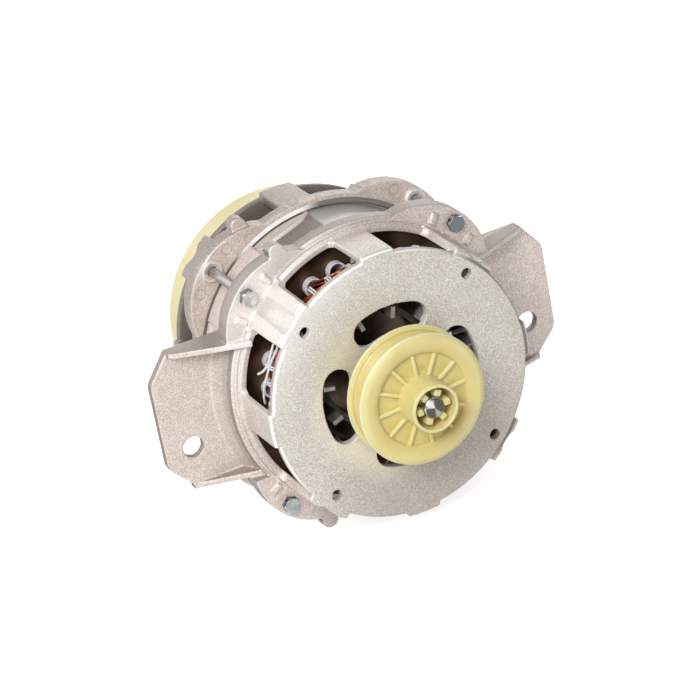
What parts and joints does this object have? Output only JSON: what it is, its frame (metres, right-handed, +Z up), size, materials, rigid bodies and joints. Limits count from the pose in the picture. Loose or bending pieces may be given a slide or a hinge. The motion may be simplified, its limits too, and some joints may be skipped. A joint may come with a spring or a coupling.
{
  "type": "washing machine motor",
  "caption": "Belt drive induction motor with cast end brackets, two mounting ears, a bare laminated stack, a grooved pulley in front and a fan behind.",
  "frame": {"origin": "centre of the front plate's face, on the shaft's axis", "axes": "-Y along the shaft towards the pulley, X along the line of the two ears, +Z up, away from the four small feet"},
  "size_m": [0.2228, 0.1848, 0.1586],
  "materials": {
    "cast_aluminium": "shot-blasted casting, warm grey",
    "zinc_steel": "bright zinc plating",
    "lamination_steel": "stacked bare laminations",
    "liner_film": "white insulating film",
    "wedge_film": "tan insulating strip",
    "enamelled_copper": "enamelled copper wire",
    "lacing_cord": "white twisted cord",
    "turned_steel": "turned and ground steel",
    "cage_aluminium": "die cast",
    "spring_steel": "dark spring steel",
    "bearing_steel": "polished bearing steel",
    "cage_nylon": "moulded nylon",
    "natural_nylon": "natural cream yellow nylon, slightly translucent"
  },
  "bodies": {
    "motor_frame": {"front_bracket": "cast_aluminium", "rear_bracket": "cast_aluminium", "through_bolts": "zinc_steel", "stator_core": "lamination_steel", "slot_liners": "liner_film", "slot_wedges": "wedge_film", "run_winding": "enamelled_copper", "start_winding": "enamelled_copper", "front_lacing": "lacing_cord", "rear_lacing": "lacing_cord", "front_bearing_outer_ring": "bearing_steel", "front_bearing_shields": "spring_steel", "rear_bearing_outer_ring": "bearing_steel", "rear_bearing_shields": "spring_steel", "wave_washer": "spring_steel"},
    "rotor": {"shaft": "turned_steel", "rotor_core": "lamination_steel", "rotor_cage": "cage_aluminium", "shaft_snap_ring": "spring_steel", "front_bearing_inner_ring": "bearing_steel", "rear_bearing_inner_ring": "bearing_steel", "pulley": "natural_nylon", "fan": "natural_nylon", "fan_nut": "zinc_steel"},
    "front_ball_set": {"front_bearing_balls": "bearing_steel", "front_bearing_cage": "cage_nylon"},
    "rear_ball_set": {"rear_bearing_balls": "bearing_steel", "rear_bearing_cage": "cage_nylon"}
  },
  "joints": [
    {"name": "rotor_spin", "type": "hinge", "parent": "motor_frame", "child": "rotor", "pos_m": [0, 0, 0], "axis": [0, 1, 0], "continuous": true},
    {"name": "front_ball_spin", "type": "hinge", "parent": "motor_frame", "child": "front_ball_set", "pos_m": [0, 0, 0], "axis": [0, 1, 0], "continuous": true},
    {"name": "rear_ball_spin", "type": "hinge", "parent": "motor_frame", "child": "rear_ball_set", "pos_m": [0, 0, 0], "axis": [0, 1, 0], "continuous": true}
  ],
  "couplings": [
    {"joint": "front_ball_spin", "follows": "rotor_spin", "ratio": 0.368},
    {"joint": "rear_ball_spin", "follows": "rotor_spin", "ratio": 0.368}
  ]
}
